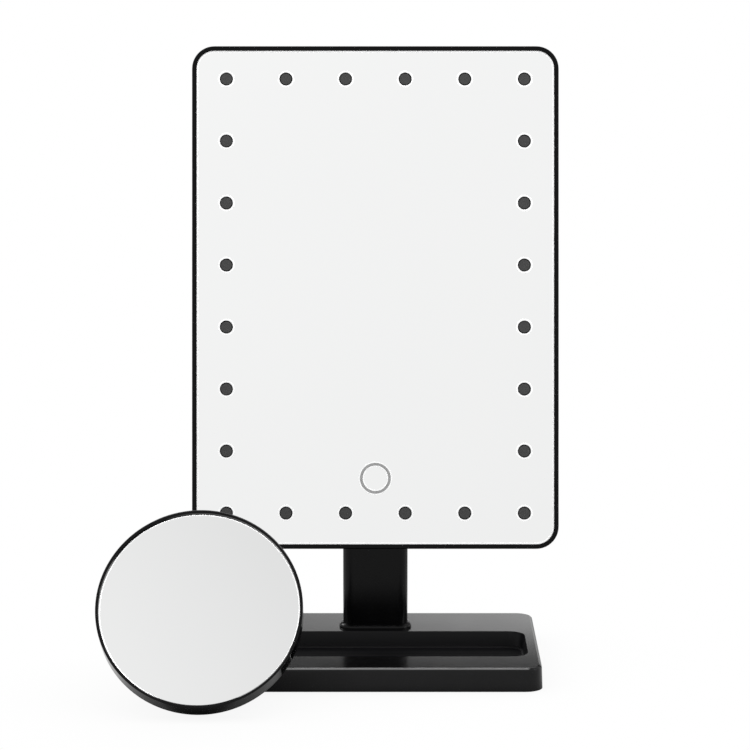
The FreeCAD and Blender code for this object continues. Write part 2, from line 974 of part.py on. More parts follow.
def build_bracket_screws():
    piece = screw(bracket_thick + wall, screw_head_thick, screw_dia)
    return [driven(piece, V(x, bracket_depth, z), FRONT) for x, z in bracket_screw_places()]


def build_pin():
    left = -ear_out + cap_thick + pin_end_gap
    right = ear_out - cap_thick
    shaft = hinge_rod(pin_dia, left, right - pin_end_gap)
    head = hinge_rod(pin_head_dia, right - pin_head_thick, right - pin_end_gap)
    return joined([shaft, head])


def build_nut():
    x0 = -ear_out + cap_thick + pin_end_gap
    x1 = -ear_out + cap_thick + nut_thick
    corner = nut_size / sqrt(3)
    points = []
    for k in range(6):
        a = radians(60 * k)
        points.append(V(x0, hinge_back + corner * cos(a), -hinge_drop + corner * sin(a)))
    prism = Part.Face(Part.makePolygon(points + [points[0]])).extrude(V(x1 - x0, 0, 0))
    return prism.cut(hinge_rod(pin_dia, -ear_out, 0))


def build_washers():
    near = knuckle_half + washer_gap
    disc = hinge_rod(washer_dia, near, near + washer_thick).cut(hinge_rod(pin_dia, 0, ear_out))
    return [disc, mirrored(disc)]


def build_caps():
    cap = hinge_rod(cap_dia - 2 * cap_fit, ear_out - cap_thick, ear_out)
    return [cap, mirrored(cap)]


# Neck

def neck_slab(grow, z0, z1, edge=0.0):
    """Slab of the neck's outline, grown on every side, with an optional rounded top."""
    return moulded_slab(neck_width + 2 * grow, neck_depth + 2 * grow, neck_corner + grow, z0, z1,
                        0.0, edge, 0, neck_y)


def build_neck():
    top = hinge_z - shoulder_drop
    column = neck_slab(0.0, base_top, top, shoulder_round)
    barrel = rod_x(2 * knuckle_radius, -knuckle_half, knuckle_half, neck_y, hinge_z)
    post = box(-knuckle_half, knuckle_half, neck_y - knuckle_radius, neck_y + knuckle_radius,
               top - 2 * shoulder_round, hinge_z)
    spigot = slab(spigot_width, spigot_depth, spigot_corner, base_top - spigot_length, base_top,
                  0, neck_y)
    solid = joined([column, post, barrel, spigot])
    bore = rod_x(pin_dia + 2 * pin_fit, -neck_width, neck_width, neck_y, hinge_z)
    pilots = []
    for x in (-neck_screw_x, neck_screw_x):
        pilots.append(screw_bore(screw_dia, V(x, neck_y, 0), UP,
                                 base_top + neck_screw_grip + screw_tip_gap))
    return cut(solid, [bore] + pilots)


def build_collar():
    """Low ring with a rounded shoulder around the foot of the neck."""
    ring = neck_slab(collar_fit + collar_rim, base_top, base_top + collar_height, collar_round)
    return ring.cut(neck_slab(collar_fit, base_top - wall, base_top + collar_height + wall))


def neck_screw_seat():
    return room_floor + screw_tip_gap + screw_head_thick


def build_neck_screws():
    low = neck_screw_seat() - screw_head_thick
    piece = screw(base_top + neck_screw_grip - low, screw_head_thick, screw_head)
    return [driven(piece, V(x, neck_y, low), UP) for x in (-neck_screw_x, neck_screw_x)]


# Base

def tray_size_at(sink):
    lean = sink * tan(radians(tray_draft))
    return tray_width - 2 * lean, tray_depth - 2 * lean, tray_corner - lean


def base_screw_places():
    x = base_width / 2 - base_screw_inset
    y = base_depth / 2 - base_screw_inset
    return [(-x, -y), (x, -y), (-x, y), (x, y)]


def build_tray():
    grow = (base_top - skirt_gap) * tan(radians(base_draft))
    outer = moulded_slab(base_width + 2 * grow, base_depth + 2 * grow, base_corner + grow,
                         skirt_gap, base_top, base_draft, base_round)
    recess = moulded_slab(*tray_size_at(-base_wall), base_top + base_wall, base_top - tray_sink,
                          tray_draft, tray_round, 0, tray_y)
    return cut(outer, [recess, tray_underside()] + seat_cuts())


def neck_seat_half():
    return spigot_width / 2 + spigot_gap + neck_seat_wall


def tray_skirt_size():
    """Outline of the solid ring around the recess under the moulding."""
    width, depth, corner = tray_size_at(-tray_floor)
    return width + 2 * tray_skirt, depth + 2 * tray_skirt, corner + tray_skirt


def tray_underside():
    """Hollow under the moulding, clear of the tray, the neck's seat and the screw bosses."""
    inner = slab(base_width - 2 * base_wall, base_depth - 2 * base_wall, base_corner - base_wall,
                 0, base_top - base_wall)
    tray_block = slab(*tray_skirt_size(), room_floor, base_top, 0, tray_y)
    half = neck_seat_half()
    deep = spigot_depth / 2 + spigot_gap + neck_seat_wall
    seat = box(-half, half, neck_y - deep, neck_y + deep, room_floor, base_top)
    bosses = [rod_z(boss_dia, plate_top, base_top, x, y) for x, y in base_screw_places()]
    return cut(inner, [tray_block, seat] + bosses)


def seat_cuts():
    """Pocket of the neck's spigot, its screw holes and the bosses' pilot holes."""
    low = base_top - spigot_length - plate_gap
    cuts = [slab(spigot_width + 2 * spigot_gap, spigot_depth + 2 * spigot_gap, spigot_corner, low,
                 base_top + base_wall, 0, neck_y)]
    for x in (-neck_screw_x, neck_screw_x):
        foot = V(x, neck_y, 0)
        cuts.append(screw_bore(screw_dia + 2 * screw_clear, foot, UP, base_top))
        cuts.append(screw_bore(screw_head + 2 * screw_head_clear, foot, UP, neck_screw_seat()))
    for x, y in base_screw_places():
        cuts.append(screw_bore(screw_dia, V(x, y, 0), UP, base_top - boss_roof))
    return cuts


def build_bottom():
    inset = base_wall + plate_gap
    solid = slab(base_width - 2 * inset, base_depth - 2 * inset, base_corner - inset,
                 pad_thick, plate_top)
    for x, y in base_screw_places():
        solid = solid.cut(countersink(V(x, y, pad_thick), UP, plate_thick, plate_thick))
    return solid


def build_base_screws():
    piece = screw(base_top - boss_roof - screw_tip_gap - pad_thick, plate_thick, screw_dia)
    return [driven(piece, V(x, y, pad_thick), UP) for x, y in base_screw_places()]


def build_pad():
    return slab(base_width - 2 * pad_inset, base_depth - 2 * pad_inset, pad_corner, 0, pad_thick)


def build_weights():
    """Steel blocks behind the tray, between the neck's seat and the screw bosses."""
    x0 = neck_seat_half() + weight_gap
    x1 = base_width / 2 - base_screw_inset - boss_dia / 2 - weight_gap
    y0 = tray_y + tray_skirt_size()[1] / 2 + weight_gap
    y1 = base_depth / 2 - base_wall - weight_gap
    block = slab(x1 - x0, y1 - y0, weight_corner, plate_top,
                 base_top - base_wall - weight_head_gap, (x0 + x1) / 2, (y0 + y1) / 2)
    return [block, mirrored(block)]


# Spot mirror, drawn facing -Y with its front rim plane at y = 0

def on_spot(shape):
    """Leans a spot mirror piece back and stands its lower rim on the table."""
    moved = shape.copy()
    moved.rotate(V(0, 0, 0), V(1, 0, 0), -spot_lean)
    moved.translate(spot_place())
    return moved


def save_spot(name, solids):
    save(name, [on_spot(s) for s in solids])


def spot_height():
    """Height of the front rim's middle that leaves the table gap under the back edge."""
    lean = radians(spot_lean)
    r = spot_back_edge
    drop = (spot_thick - r) * sin(lean) + (spot_dia / 2 - r) * cos(lean) + r
    return drop + table_gap


def spot_place():
    """Middle of the front rim's plane, with the cup leaning on the base's front left corner."""
    return V(-base_width / 2 - spot_overhang, -base_depth / 2 - spot_set_back, spot_height())


def cup_end():
    """Distance behind the front rim at which the cup's lip just clears the base's top."""
    lean = radians(spot_lean)
    drop = spot_height() - cup_dia / 2 * cos(lean) - base_top - lip_rise
    return drop / sin(lean)


def glass_sag(radius):
    return spot_curve - sqrt(spot_curve ** 2 - radius ** 2)


def spot_glass_radius():
    return spot_dia / 2 - spot_rim - spot_glass_gap


def glass_back(radius):
    """Depth of the hollow glass's back face at a distance from its middle."""
    middle = spot_glass_sink + glass_sag(spot_glass_radius()) + spot_glass_thick
    return middle - glass_sag(radius)


def build_spot_rim():
    r = spot_dia / 2
    inner = r - spot_rim
    seat = spot_glass_sink + spot_glass_thick + spot_ledge_gap
    lap = spot_part - spot_ledge_thick
    return turned([
        (inner, spot_lip), (inner + spot_lip, 0),
        *bend(r - spot_edge, spot_edge, spot_edge, -90, 0),
        (r, spot_part), (r - spot_lap, spot_part), (r - spot_lap, lap),
        (r - spot_ledge, lap), (r - spot_ledge, seat), (inner, seat),
    ])


def build_spot_glass():
    """Hollow glass between two balls about one centre."""
    front = spot_glass_sink
    disc = rod_y(2 * spot_glass_radius(), front, front + 4 * spot_glass_thick, 0, 0)
    centre = V(0, glass_back(0) - spot_glass_thick - spot_curve, 0)
    back = Part.makeSphere(spot_curve + spot_glass_thick, centre)
    return disc.common(back).cut(Part.makeSphere(spot_curve, centre))


def build_spot_shell():
    """Back of the spot mirror with the ball's socket and a ring rib that presses the foam."""
    r = spot_dia / 2
    edge = spot_back_edge
    start = spot_part + part_groove
    inside = spot_thick - spot_wall
    lap = r - spot_lap - spot_lap_gap
    cave = lap - spot_wall
    rib_in = (spot_rib_dia - spot_rib_thick) / 2
    rib_out = rib_in + spot_rib_thick
    ball = ball_dia / 2 + ball_gap
    out = ball + ball_wall
    root = ball_back - out
    return turned([
        *bend(0, ball_back, ball, -90, 0, ball_flats // 2), (out, ball_back), (out, spot_thick),
        *reversed(bend(r - edge, spot_thick - edge, edge, 0, 90)),
        (r, start), (lap, start), (lap, start - spot_ledge_thick), (cave, start - spot_ledge_thick),
        (cave, inside), (rib_out, inside), (rib_out, foam_back()), (rib_in, foam_back()),
        (rib_in, inside), (out, inside), (out, root), (0, root),
    ])


def foam_front():
    return glass_back((spot_rib_dia + foam_width) / 2) + foam_gap


def foam_back():
    return foam_front() + foam_thick


def build_spot_pad():
    """Foam ring that presses the spot glass forward against its rim."""
    inner = (spot_rib_dia - foam_width) / 2
    outer = (spot_rib_dia + foam_width) / 2
    return turned([(inner, foam_front()), (outer, foam_front()), (outer, foam_back()),
                   (inner, foam_back())])


def build_retainer():
    """Ring that holds the ball in its socket, with a mouth that lets the stem tilt."""
    ball = ball_dia / 2 + ball_gap
    out = ball + ball_wall
    end = ball_back + retainer_length
    mouth = retainer_mouth / 2
    narrow = ball_back + mouth_depth
    return turned([
        (ball, ball_back), (out + retainer_skirt, ball_back),
        (out + retainer_skirt, ball_back + retainer_seat), (out - retainer_seat, end),
        (mouth + mouth_slope * (end - narrow), end), (mouth, narrow),
        (ball, ball_back + retainer_seat),
    ])


# Suction mount

def build_ball_stud():
    back = cup_end() - cup_length
    front = back - hub_thick
    hub = hub_dia / 2
    ball = ball_dia / 2
    stem_angle = degrees(acos(stem_dia / ball_dia))
    return turned([
        *bend(0, ball_back, ball, -90, stem_angle, ball_flats), (stem_dia / 2, front),
        (hub - hub_bevel, front), (hub, front + hub_bevel), (hub, back), (0, back),
    ])


def build_cup():
    """Bell of soft vinyl with a shallow hollow behind its lip."""
    y1 = cup_end()
    y0 = y1 - cup_length
    r = cup_dia / 2
    neck = hub_dia / 2 - cup_neck
    return turned([
        (0, y0), *bell(neck, y0, r - cup_lip, y1 - cup_skirt),
        (r, y1 - cup_lip), (r, y1), (cup_bore / 2, y1 - cup_hollow), (0, y1 - cup_hollow),
    ])


def build_all():
    save_head("front_bezel", [build_bezel()])
    save_head("mirror_glass", [build_glass()])
    save_head("light_windows", build_windows())
    save_head("touch_ring", [build_touch_ring()])
    save_head("glass_tape", [build_tape()])
    left, right, top, bottom = build_strips()
    save_head("led_strip_left", [left])
    save_head("led_strip_right", [right])
    save_head("led_strip_top", [top])
    save_head("led_strip_bottom", [bottom])
    save_head("leds", build_leds())
    save_head("rear_shell", [build_shell()])
    save_head("shell_screws", build_shell_screws())
    save_head("battery_cover", [build_battery_cover()])
    save_head("battery_cells", build_cells())
    save_head("battery_contacts", build_contacts())
    save_head("battery_springs", build_springs())
    save_head("control_board", [build_board()])
    save_head("board_components", build_board_chips())
    save_head("switch_body", [build_switch_body()])
    save_head("switch_knob", [build_switch_knob()])
    save_head("power_socket", [build_socket()])
    save_head("touch_electrode", [build_electrode()])
    save_head("touch_board", [build_touch_board()])
    save_head("hinge_bracket", [build_bracket()])
    save_head("bracket_screws", build_bracket_screws())
    save_head("hinge_pin", [build_pin()])
    save_head("hinge_nut", [build_nut()])
    save_head("friction_washers", build_washers())
    save_head("hinge_caps", build_caps())
    save("neck_column", [build_neck()])
    save("neck_collar", [build_collar()])
    save("neck_screws", build_neck_screws())
    save("base_tray", [build_tray()])
    save("base_bottom", [build_bottom()])
    save("base_screws", build_base_screws())
    save("base_weights", build_weights())
    save("foot_pad", [build_pad()])
    save_spot("spot_rim", [build_spot_rim()])
    save_spot("spot_glass", [build_spot_glass()])
    save_spot("spot_shell", [build_spot_shell()])
    save_spot("spot_pad", [build_spot_pad()])
    save_spot("socket_retainer", [build_retainer()])
    save_spot("ball_stud", [build_ball_stud()])
    save_spot("suction_cup", [build_cup()])


build_all()
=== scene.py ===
import json
import math

import bmesh
import bpy
from mathutils import Matrix, Vector


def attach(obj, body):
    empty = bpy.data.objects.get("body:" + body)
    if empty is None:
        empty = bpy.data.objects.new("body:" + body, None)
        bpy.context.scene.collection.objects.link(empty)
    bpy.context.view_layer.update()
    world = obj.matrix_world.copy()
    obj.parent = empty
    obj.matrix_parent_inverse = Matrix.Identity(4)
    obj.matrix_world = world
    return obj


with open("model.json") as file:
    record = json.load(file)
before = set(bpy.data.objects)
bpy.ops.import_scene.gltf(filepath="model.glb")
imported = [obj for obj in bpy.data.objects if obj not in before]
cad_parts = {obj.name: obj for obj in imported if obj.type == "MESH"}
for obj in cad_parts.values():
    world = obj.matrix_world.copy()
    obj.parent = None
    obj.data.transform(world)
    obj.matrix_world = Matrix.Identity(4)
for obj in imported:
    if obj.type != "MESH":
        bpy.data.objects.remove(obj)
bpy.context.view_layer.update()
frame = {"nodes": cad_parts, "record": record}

# The camera looks square at the tilted mirror.
TILT = 9.8
CAMERA = Vector((-0.0002, -1.5864, 0.434))
LENS = 143.3
SENSOR = 36.0

# Sizes and places of the CAD, in metres and degrees
HEAD_WIDTH, HEAD_HEIGHT, HEAD_CORNER = 0.2, 0.2742, 0.0122
HINGE, HINGE_BACK, HINGE_DROP = (0, 0.0311, 0.110), 0.0211, 0.0862
GLASS_INSET = 0.00255
WINDOW_COLS, WINDOW_ROWS, WINDOW_INSET, WINDOW_RISE = 6, 8, 0.01875, 0.0008
WINDOW_RADIUS = 0.0036
TOUCH_OUTER, TOUCH_INNER, TOUCH_INSET = 0.00845, 0.00695, 0.0385
RECESS_LOW, RECESS_HIGH = (-0.0826, -0.0356, 0.0), (0.0826, 0.0182, 0.0129)
FOOT_LOW, FOOT_HIGH = (-0.0826, -0.0356, 0.00393), (0.0826, 0.0182, 0.0052)
SPOT_LEAN, SPOT_PLACE = 32.5, (-0.0912, -0.0860, 0.052807)
SPOT_GLASS_RADIUS, SPOT_GLASS_SINK, SPOT_GLASS_SLOPE = 0.05205, 0.0032, 0.0868
SPOT_NODES = ("spot_rim", "spot_glass", "spot_shell", "spot_pad", "socket_retainer",
              "ball_stud", "suction_cup")

# Thin edges on the glass: widths, and heights of their crown and foot above it
ARRIS_WIDTH, SPOT_ARRIS_WIDTH, HALO_WIDTH = 0.0009, 0.0006, 0.0009
TOUCH_HALO_WIDTH, MASK_WIDTH = 0.0006, 0.0006
EDGE_CROWN, EDGE_FOOT = 0.00003, 0.000004
RING_STEPS, SPOT_STEPS, CORNER_STEPS = 40, 160, 10

# World, table and cards: a strength of 1 is white
WORLD_STOPS = [(0.0, 0.90), (0.11, 0.922), (0.28, 0.966), (0.675, 0.842), (0.86, 0.888)]
WORLD_SLOPE = (0.4, 0.6, -0.13, 0.33)
WORLD_SLOPE_REACH = 0.2
WORLD_LIGHT = 0.4
TABLE_REACH, TABLE_GREY = 30.0, 0.85
SHADE_SAMPLES = 24
SHADOW_REACH, SHADOW_DEPTH = 0.10, 0.11
REFLECTED_REACH, REFLECTED_SHADOW = 0.045, 1.8
REFLECTED_TABLE = (0.4, 5.0, 0.8, 0.90)
CARD_REACH, CARD_Y, CARD_FOOT, CARD_LOW, CARD_HIGH = 1.0, 0.25, 0.03, 0.080, 0.2
RUNNER_START, RUNNER_END, RUNNER_HEIGHT = 0.13, 2.0, 0.001
UPPER_CARD_GREY, LOWER_CARD_GREYS, RUNNER_GREY = 0.08, (0.72, 1.34), 0.45
LOWER_CARD_SHADED = 0.1

# Name, place, target, size in metres, watts, and whether glossy surfaces mirror it
LAMPS = [
    ("key", (-0.9, -1.1, 1.5), (0, 0, 0.15), (0.9, 0.9), 9, False),
    ("side", (1.1, -0.3, 0.7), (0, 0, 0.12), (0.4, 0.9), 5, True),
    ("back", (-1.1, 1.1, 1.0), (0, 0.03, 0.2), (0.9, 0.7), 14, True),
    ("overhead", (0, -0.5, 1.7), (0, -0.05, 0), (1.2, 0.5), 15, True),
]


# Scene

def make_camera():
    data = bpy.data.cameras.new("camera")
    data.lens = LENS
    data.sensor_width = SENSOR
    data.clip_end = 60
    camera = bpy.data.objects.new("camera", data)
    camera.location = CAMERA
    camera.rotation_euler = (math.pi / 2 - math.radians(TILT), 0, 0)
    bpy.context.collection.objects.link(camera)
    bpy.context.scene.camera = camera


def make_lamp(name, place, target, size, watts, glossy):
    data = bpy.data.lights.new(name, "AREA")
    data.shape = "RECTANGLE"
    data.size, data.size_y = size
    data.energy = watts
    light = bpy.data.objects.new(name, data)
    light.location = place
    light.visible_glossy = glossy
    aim = Vector(target) - Vector(place)
    light.rotation_euler = aim.to_track_quat("-Z", "Y").to_euler()
    bpy.context.collection.objects.link(light)


def set_socket(links, socket, value):
    """Links another node's output to a socket, or sets a plain value on it."""
    if hasattr(value, "is_linked"):
        links.new(value, socket)
    else:
        socket.default_value = value


def math_node(nodes, links, operation, *values):
    node = nodes.new("ShaderNodeMath")
    node.operation = operation
    for socket, value in zip(node.inputs, values):
        set_socket(links, socket, value)
    return node.outputs[0]


def either(nodes, links, yes, no, choice):
    """The value yes where choice is 1 and no where it is 0."""
    node = nodes.new("ShaderNodeMix")
    for name, value in (("Factor", choice), ("A", no), ("B", yes)):
        set_socket(links, node.inputs[name], value)
    return node.outputs["Result"]


def map_range(nodes, links, value, limits, interpolation="LINEAR"):
    """Maps a value between the first two limits to one between the last two."""
    node = nodes.new("ShaderNodeMapRange")
    node.interpolation_type = interpolation
    for name, limit in zip(("From Min", "From Max", "To Min", "To Max"), limits):
        node.inputs[name].default_value = limit
    links.new(value, node.inputs["Value"])
    return node.outputs["Result"]


def grey_ramp(nodes, links, value, stops):
    node = nodes.new("ShaderNodeValToRGB")
    elements = node.color_ramp.elements
    while len(elements) < len(stops):
        elements.new(0.5)
    for element, (at, grey) in zip(elements, stops):
        element.position = at
        element.color = (grey, grey, grey, 1)
    links.new(value, node.inputs[0])
    return node.outputs["Color"]


def seen_directly(nodes, links):
    """1 for rays from the camera and for mirrored or refracted rays, and 1 for the camera's."""
    path = nodes.new("ShaderNodeLightPath").outputs
    direct = math_node(nodes, links, "MAXIMUM", path["Is Camera Ray"], path["Is Glossy Ray"])
    direct = math_node(nodes, links, "MAXIMUM", direct, path["Is Transmission Ray"])
    return direct, path["Is Camera Ray"]


def coordinate(nodes, name):
    return nodes.new("ShaderNodeTexCoord").outputs[name]


def split_up(nodes, links, vector):
    node = nodes.new("ShaderNodeSeparateXYZ")
    links.new(vector, node.inputs[0])
    return node.outputs


def mix_shaders(nodes, links, choice, no, yes, output):
    """Ends a node tree in the shader yes where choice is 1 and no where it is 0."""
    mix = nodes.new("ShaderNodeMixShader")
    for socket, source in zip(mix.inputs, (choice, no.outputs[0], yes.outputs[0])):
        links.new(source, socket)
    links.new(mix.outputs[0], nodes.new(output).inputs[0])


def make_world():
    """White to the camera, a soft pale studio in reflections, and a plain grey light."""
    world = bpy.data.worlds.new("studio")
    bpy.context.scene.world = world
    world.use_nodes = True
    nodes, links = world.node_tree.nodes, world.node_tree.links
    nodes.clear()
    direct, camera = seen_directly(nodes, links)
    way = split_up(nodes, links, coordinate(nodes, "Generated"))
    height = grey_ramp(nodes, links, way["Z"], WORLD_STOPS)
    aside = math_node(nodes, links, "MINIMUM", way["X"], WORLD_SLOPE_REACH)
    aside = math_node(nodes, links, "MAXIMUM", aside, -WORLD_SLOPE_REACH)
    slope = map_range(nodes, links, way["Z"], WORLD_SLOPE)
    slope = math_node(nodes, links, "MULTIPLY", aside, slope)
    reflected = math_node(nodes, links, "ADD", height, slope)
    seen, light = (nodes.new("ShaderNodeBackground") for _ in range(2))
    for node, strength in ((seen, either(nodes, links, 1.0, reflected, camera)),
                           (light, WORLD_LIGHT)):
        node.inputs["Color"].default_value = (1, 1, 1, 1)
        set_socket(links, node.inputs["Strength"], strength)
    mix_shaders(nodes, links, direct, light, seen, "ShaderNodeOutputWorld")


def square(name, corners):
    mesh = bpy.data.meshes.new(name)
    mesh.from_pydata(corners, [], [(0, 1, 2, 3)])
    obj = bpy.data.objects.new(name, mesh)
    bpy.context.collection.objects.link(obj)
    return obj


def open_share(nodes, reach):
    """How much of the sky nothing covers within reach, from 0 to 1."""
    node = nodes.new("ShaderNodeAmbientOcclusion")
    node.samples = SHADE_SAMPLES
    node.inputs["Distance"].default_value = reach
    return node.outputs["AO"]


def make_floor():
    """White table that keeps a soft shadow where the object stands on it."""
    r = TABLE_REACH
    floor = square("floor", [(-r, -r, 0), (r, -r, 0), (r, r, 0), (-r, r, 0)])
    material = bpy.data.materials.new("table_white")
    material.use_nodes = True
    nodes, links = material.node_tree.nodes, material.node_tree.links
    nodes.clear()
    direct, camera = seen_directly(nodes, links)
    matte = nodes.new("ShaderNodeBsdfDiffuse")
    matte.inputs["Color"].default_value = (TABLE_GREY, TABLE_GREY, TABLE_GREY, 1)
    soft = math_node(nodes, links, "MULTIPLY_ADD", open_share(nodes, SHADOW_REACH),
                     SHADOW_DEPTH, 1 - SHADOW_DEPTH)
    deep = math_node(nodes, links, "POWER", open_share(nodes, REFLECTED_REACH),
                     REFLECTED_SHADOW)
    away = nodes.new("ShaderNodeVectorMath")
    away.operation = "LENGTH"
    links.new(coordinate(nodes, "Object"), away.inputs[0])
    level = map_range(nodes, links, away.outputs["Value"], REFLECTED_TABLE, "SMOOTHSTEP")
    deep = math_node(nodes, links, "MULTIPLY", deep, level)
    glow = nodes.new("ShaderNodeEmission")
    links.new(either(nodes, links, soft, deep, camera), glow.inputs["Strength"])
    mix_shaders(nodes, links, direct, matte, glow, "ShaderNodeOutputMaterial")
    floor.data.materials.append(material)


def card(name, corners, grey, right_grey=None):
    """Card that only glossy surfaces see, plain or shaded from left to right."""
    piece = square(name, corners)
    piece.visible_camera = False
    piece.visible_diffuse = False
    piece.visible_shadow = False
    piece.visible_transmission = False
    material = bpy.data.materials.new(name)
    material.use_nodes = True
    nodes, links = material.node_tree.nodes, material.node_tree.links
    nodes.clear()
    glow = nodes.new("ShaderNodeEmission")
    glow.inputs["Color"].default_value = (1, 1, 1, 1)
    if right_grey is not None:
        across = split_up(nodes, links, coordinate(nodes, "Object"))["X"]
        limits = (-LOWER_CARD_SHADED, LOWER_CARD_SHADED, grey, right_grey)
        grey = map_range(nodes, links, across, limits)
    set_socket(links, glow.inputs["Strength"], grey)
    out = nodes.new("ShaderNodeOutputMaterial")
    links.new(glow.outputs[0], out.inputs[0])
    piece.data.materials.append(material)


def make_cards():
    """Grey and white cards behind the object, as a product photographer sets them."""
    r, y = CARD_REACH, CARD_Y
    foot, low, high = CARD_FOOT, CARD_LOW, CARD_HIGH
    near, far, up = RUNNER_START, RUNNER_END, RUNNER_HEIGHT
    card("grey_card", [(-r, y, low), (r, y, low), (r, y, high), (-r, y, high)],
         UPPER_CARD_GREY)
    card("white_card", [(-r, y, foot), (r, y, foot), (r, y, low), (-r, y, low)],
         *LOWER_CARD_GREYS)
    card("grey_runner", [(-r, near, up), (r, near, up), (r, far, up), (-r, far, up)],
         RUNNER_GREY)


# Materials

class Surface:
    """A Principled material under construction."""

    def __init__(self, name, colour, roughness, metallic=0.0, specular=0.5):
        self.material = bpy.data.materials.new(name)
        self.material.use_nodes = True
        self.nodes = self.material.node_tree.nodes
        self.links = self.material.node_tree.links
        self.shader = self.nodes["Principled BSDF"]
        self.set(self.shader, {"Base Color": (*colour, 1), "Roughness": roughness,
                               "Metallic": metallic, "Specular IOR Level": specular})
        self.place = coordinate(self.nodes, "Object")
        self.height = None

    def set(self, node, values):
        for name, value in values.items():
            set_socket(self.links, node.inputs[name], value)

    def noise(self, scale, detail=4.0, stretch=None):
        node = self.nodes.new("ShaderNodeTexNoise")
        self.set(node, {"Scale": scale, "Detail": detail, "Roughness": 0.55})
        source = self.place
        if stretch:
            mapping = self.nodes.new("ShaderNodeMapping")
            mapping.inputs["Scale"].default_value = stretch
            self.links.new(source, mapping.inputs["Vector"])
            source = mapping.outputs["Vector"]
        self.links.new(source, node.inputs["Vector"])
        return node.outputs["Fac"]

    def cells(self, scale):
        node = self.nodes.new("ShaderNodeTexVoronoi")
        self.set(node, {"Scale": scale, "Vector": self.place})
        return node.outputs["Distance"]

    def spread(self, value, low, high, start=0.3, end=0.7):
        return map_range(self.nodes, self.links, value, (start, end, low, high))

    def inside(self, low, high):
        """1 within a box of the object's own space, else 0."""
        share = 1.0
        for along, start, end in zip(split_up(self.nodes, self.links, self.place), low, high):
            middle, half = (start + end) / 2, (end - start) / 2
            near = math_node(self.nodes, self.links, "COMPARE", along, middle, half)
            share = math_node(self.nodes, self.links, "MULTIPLY", near, share)
        return share

    def rough(self, value, low, high):
        self.links.new(self.spread(value, low, high), self.shader.inputs["Roughness"])

    def tint(self, value, other, start=0.35, end=0.65):
        """Mixes another colour in where value is high."""
        node = self.nodes.new("ShaderNodeMix")
        node.data_type = "RGBA"
        self.links.new(self.spread(value, 0, 1, start, end), node.inputs["Factor"])
        current = self.shader.inputs["Base Color"]
        before = current.links[0].from_socket if current.is_linked else current.default_value
        self.set(node, {"A": before, "B": (*other, 1)})
        self.links.new(node.outputs["Result"], current)

    def bump(self, value, distance, strength):
        node = self.nodes.new("ShaderNodeBump")
        self.set(node, {"Distance": distance, "Strength": strength, "Height": value})
        if self.height is not None:
            self.links.new(self.height, node.inputs["Normal"])
        self.height = node.outputs["Normal"]
        self.links.new(self.height, self.shader.inputs["Normal"])


def smooth_black(name, specular, low, high):
    """Polished black ABS with the slight waviness of a moulded surface."""
    s = Surface(name, (0.0012, 0.0012, 0.0014), low, specular=specular)
    s.rough(s.noise(30, 5), low, high)
    s.tint(s.noise(45, 4), (0.0018, 0.0018, 0.0021), 0.4, 0.6)
    s.bump(s.noise(90, 2), 0.00003, 0.12)
    return s


def gloss_black():
    return smooth_black("gloss_black_abs", 0.15, 0.06, 0.12).material


def frame_black():
    return smooth_black("frame_black_abs", 0.10, 0.06, 0.12).material


def column_black():
    return smooth_black("column_black_abs", 0.15, 0.16, 0.24).material


def rim_black():
    return smooth_black("rim_black_abs", 0.15, 0.05, 0.10).material


def satin_black():
    return smooth_black("satin_black_abs", 0.25, 0.10, 0.16).material


def tray_black():
    """Satin moulding whose recess has a finer, duller texture and its own bluish-black colour,
    which is painted shade that sets the hollow's dark tone.
    """
    s = smooth_black("tray_black_abs", 0.25, 0.14, 0.18)
    recess = s.inside(RECESS_LOW, RECESS_HIGH)
    foot = s.inside(FOOT_LOW, FOOT_HIGH)
    dull = s.spread(s.noise(1500, 2), 0.28, 0.36)
    dull = either(s.nodes, s.links, 0.9, dull, foot)
    shader = s.shader.inputs["Roughness"]
    plain = shader.links[0].from_socket
    s.links.new(either(s.nodes, s.links, dull, plain, recess), shader)
    # Painted shade: the recess's own bluish colour sets the dark tone of the hollow.
    s.tint(recess, (0.0030, 0.0030, 0.0036), 0, 1)
    return s.material


def shell_black():
    s = Surface("shell_black_abs", (0.020, 0.020, 0.021), 0.28, specular=0.4)
    s.rough(s.noise(40, 3), 0.30, 0.40)
    s.tint(s.noise(25, 3), (0.025, 0.025, 0.026), 0.4, 0.65)
    s.bump(s.noise(1400, 1), 0.00003, 0.08)
    return s.material


def silvered_glass():
    s = Surface("silvered_glass", (0.932, 0.936, 0.934), 0.0, metallic=1.0)
    s.rough(s.noise(9, 3), 0.0, 0.012)
    s.tint(s.noise(5, 2), (0.938, 0.942, 0.940))
    return s.material


def ground_glass(name, low, high):
    """Fine ground edge of glass, which scatters the light."""
    s = Surface(name, (1.0, 1.0, 1.0), low, metallic=1.0)
    s.rough(s.noise(2500, 3), low, high)
    s.tint(s.noise(900, 2), (0.985, 0.99, 0.99))
    s.bump(s.noise(6000, 2), 0.00001, 0.12)
    return s.material


def mask_paint():
    """Dark backing paint that shows as a thin line round each window."""
    s = Surface("mask_paint", (0.003, 0.003, 0.003), 0.4, specular=0.1)
    s.rough(s.noise(2500, 3), 0.35, 0.5)
    s.tint(s.noise(3000, 2), (0.006, 0.006, 0.006))
    return s.material


def frosted_window_painted_shade():
    # Painted shade: the dark grey stands in for the unlit inside seen through the frosted
    # window.
    s = Surface("frosted_window_painted_shade", (0.038, 0.038, 0.038), 0.5, specular=0.3)
    s.rough(s.noise(900, 3), 0.4, 0.6)
    s.tint(s.noise(2500, 2), (0.046, 0.046, 0.046))
    s.bump(s.noise(5000, 2), 0.00002, 0.3)
    return s.material


def etched_line():
    s = Surface("etched_line", (0.30, 0.30, 0.30), 0.5, specular=0.3)
    s.tint(s.noise(3000, 2), (0.34, 0.34, 0.34))
    s.rough(s.noise(1500, 2), 0.4, 0.6)
    return s.material


